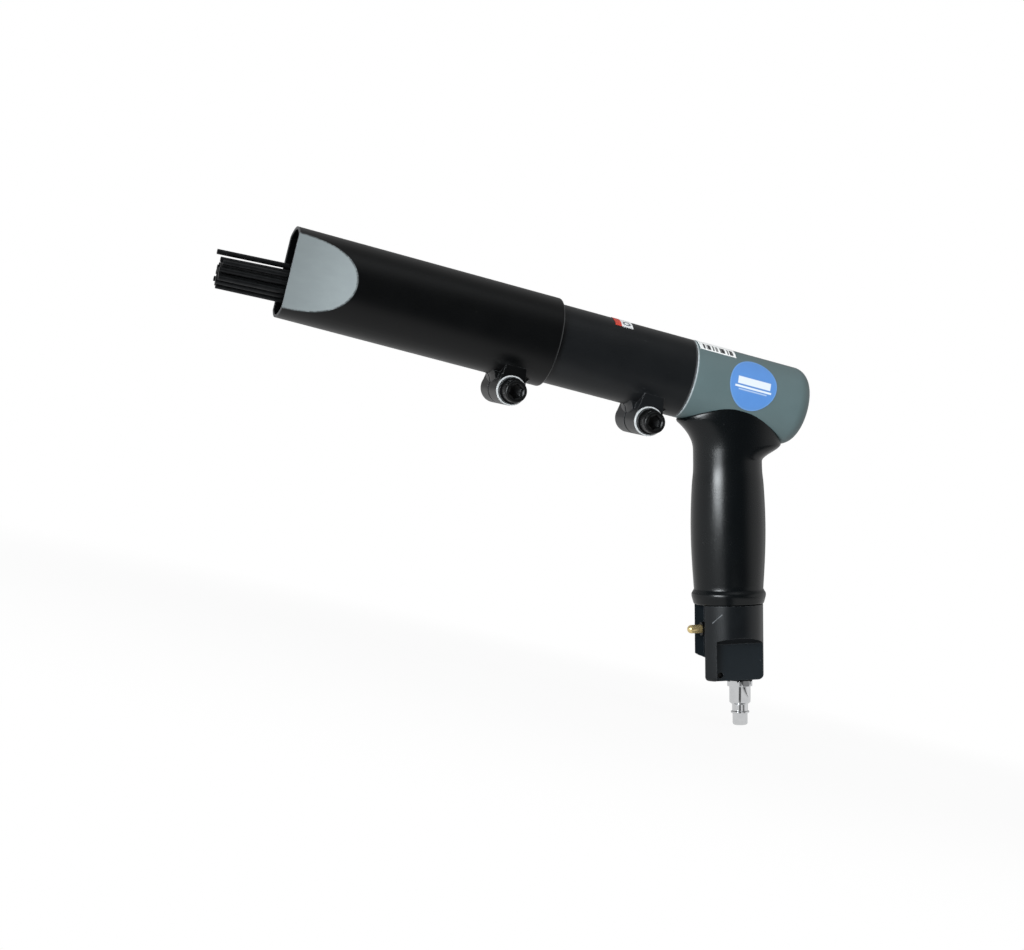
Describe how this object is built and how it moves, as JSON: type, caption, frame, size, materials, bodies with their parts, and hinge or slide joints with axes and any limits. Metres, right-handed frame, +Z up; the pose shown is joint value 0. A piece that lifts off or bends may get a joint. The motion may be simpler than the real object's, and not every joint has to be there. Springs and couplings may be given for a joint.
{
  "type": "needle scaler",
  "caption": "Pneumatic needle scaler with a pistol grip, clamped barrel and nose tubes, a bundle of steel needles and a quick-connect air plug under the grip.",
  "frame": {"origin": "middle of the hand grip, on the grip's own axis", "axes": "-X is the way the needles point, along the barrel; +Z is up, from the grip to the barrel; +Y is the tool's right side, away from the clamp screws' heads"},
  "size_m": [0.3272, 0.0492, 0.1911],
  "materials": {
    "satin_black": "satin black, worn bright on the pressed mouth",
    "head_paint": "blue-grey paint, semi-gloss",
    "grip_black": "satin moulding",
    "block_black": "dark anodised",
    "black_oxide": "black oxide",
    "zinc": "bright zinc plate",
    "needle_steel": "dark drawn wire",
    "machined_steel": "ground",
    "bronze": "turned",
    "brass": "turned",
    "nitrile": "matt",
    "chrome": "bright plate",
    "label_blue": "printed film, plain",
    "label_white": "printed film, plain bars",
    "label_red": "printed film, plain"
  },
  "bodies": {
    "tool": {"head_housing": "head_paint", "handle_tube": "machined_steel", "handle_seals": "nitrile", "grip_sleeve": "grip_black", "inlet_block": "block_black", "throttle_bush": "black_oxide", "tilt_valve_seat": "nitrile", "tilt_valve_spring": "machined_steel", "inlet_screen": "brass", "air_plug": "chrome", "plug_seal": "nitrile", "cross_pin": "black_oxide", "round_label": "label_blue", "strip_label": "label_white", "rear_buffer": "nitrile", "cylinder_sleeve": "machined_steel", "cylinder_seal": "nitrile", "anvil_bush": "bronze", "valve_seat": "machined_steel", "valve_cover": "machined_steel"},
    "barrel": {"barrel_tube": "satin_black", "rear_clamp_screw": "black_oxide", "rear_clamp_washer": "zinc", "rear_lock_washer": "black_oxide", "spring_seat_ring": "machined_steel", "retaining_ring": "black_oxide", "needle_spring": "machined_steel", "small_label": "label_red"},
    "nose": {"nose_tube": "satin_black", "front_clamp_screw": "black_oxide", "front_clamp_washer": "zinc", "front_lock_washer": "black_oxide"},
    "needle_pack": {"needles": "needle_steel", "needle_holder": "machined_steel"},
    "anvil": {"anvil": "machined_steel"},
    "piston": {"piston": "machined_steel"},
    "valve_plate": {"valve_plate": "machined_steel"},
    "throttle_pin": {"throttle_pin": "brass"},
    "tilt_valve": {"tilt_valve": "brass"}
  },
  "joints": [
    {"name": "barrel_turn", "type": "hinge", "parent": "tool", "child": "barrel", "pos_m": [-0.04214, 0, 0.06387], "axis": [1, 0, 0], "continuous": true},
    {"name": "nose_slide", "type": "slide", "parent": "barrel", "child": "nose", "axis": [1, 0, 0], "range_m": [-0.01, 0.025]},
    {"name": "needle_slide", "type": "slide", "parent": "barrel", "child": "needle_pack", "axis": [-1, 0, 0], "range_m": [0, 0.006], "stiffness_N_per_m": 3000, "springref_m": -0.004, "deforming": ["needle_spring"]},
    {"name": "anvil_slide", "type": "slide", "parent": "tool", "child": "anvil", "axis": [-1, 0, 0], "range_m": [0, 0.006]},
    {"name": "piston_stroke", "type": "slide", "parent": "tool", "child": "piston", "axis": [-1, 0, 0], "range_m": [-0.0007, 0.0187]},
    {"name": "valve_flutter", "type": "slide", "parent": "tool", "child": "valve_plate", "axis": [1, 0, 0], "range_m": [-0.0002, 0.0006]},
    {"name": "throttle_press", "type": "slide", "parent": "tool", "child": "throttle_pin", "axis": [0.9677, 0, 0.2521], "range_m": [0, 0.0025], "stiffness_N_per_m": 1500, "springref_m": -0.002},
    {"name": "tilt_valve_tip", "type": "hinge", "parent": "tool", "child": "tilt_valve", "pos_m": [0.01197, 0, -0.06658], "axis": [0, 1, 0], "range_deg": [0, 14.6], "deforming": ["tilt_valve_spring"]}
  ],
  "couplings": [
    {"joint": "anvil_slide", "follows": "needle_slide", "ratio": 1},
    {"joint": "tilt_valve_tip", "follows": "throttle_press", "rad_per_m": 101}
  ]
}
